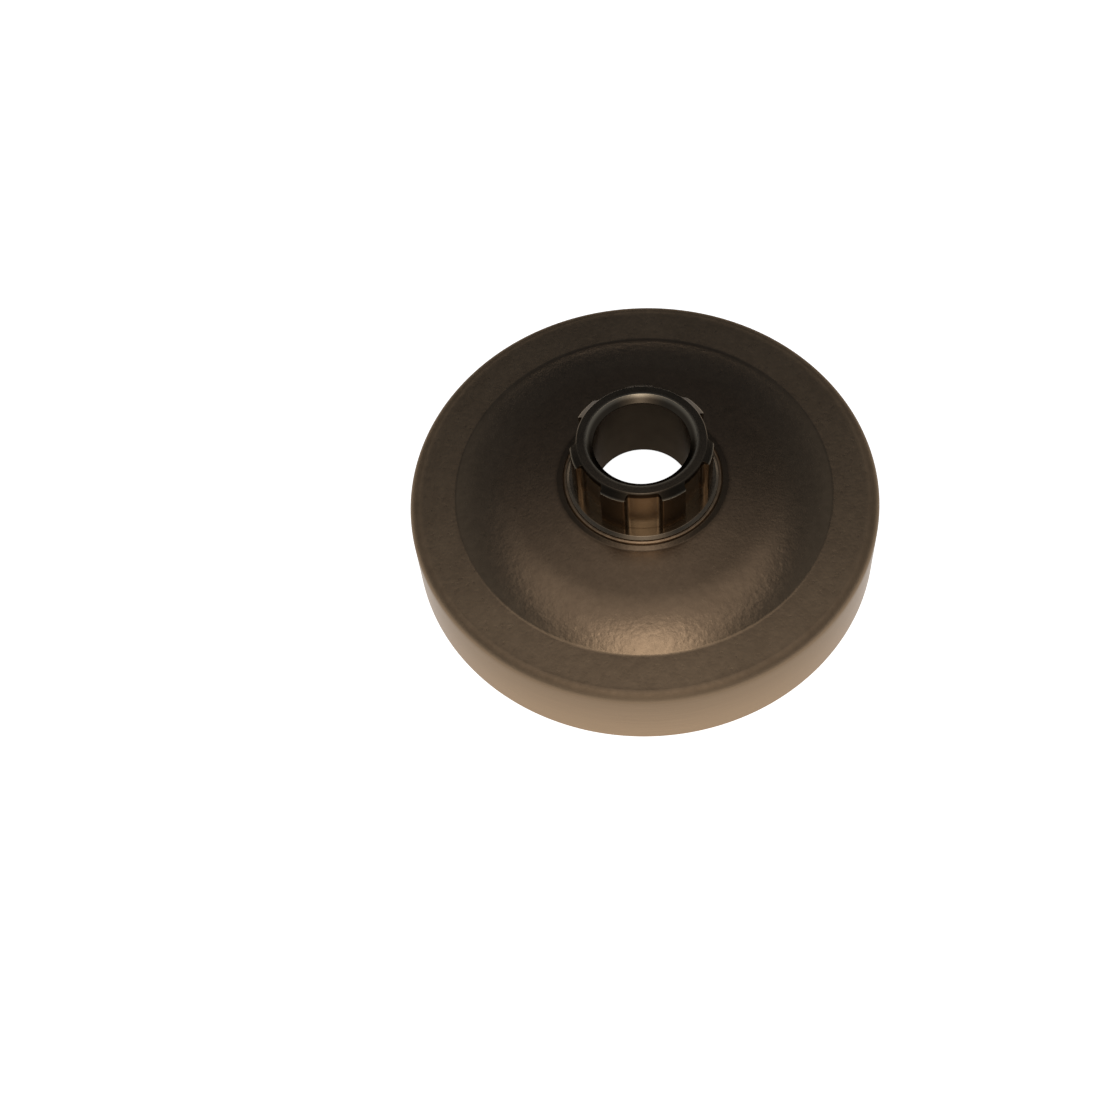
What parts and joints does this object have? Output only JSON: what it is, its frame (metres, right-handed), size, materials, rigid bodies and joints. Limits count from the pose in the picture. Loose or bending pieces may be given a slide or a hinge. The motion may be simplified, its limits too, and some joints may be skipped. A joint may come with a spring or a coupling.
{
  "type": "clutch drum",
  "caption": "Domed steel cup with a turned friction band inside its wall, brazed to a splined hub with a through bore; takes a centrifugal clutch's shoes and drives a sprocket.",
  "frame": {"origin": "centre of the circle of the open rim, in the plane that the cup stands on", "axes": "+Z along the drum's axis, from the rim towards the end of the hub; +Y towards the notch in the rim"},
  "size_m": [0.065, 0.065, 0.0235],
  "materials": {
    "cup_steel": "pressed sheet, dark brown oxide finish with a fine grain and a film of oil, turned wall",
    "hub_steel": "turned and milled, dark brown oxide finish, smoother than the cup, bright at the edges"
  },
  "bodies": {
    "root": {"drum_cup": "cup_steel", "splined_hub": "hub_steel"}
  },
  "joints": []
}
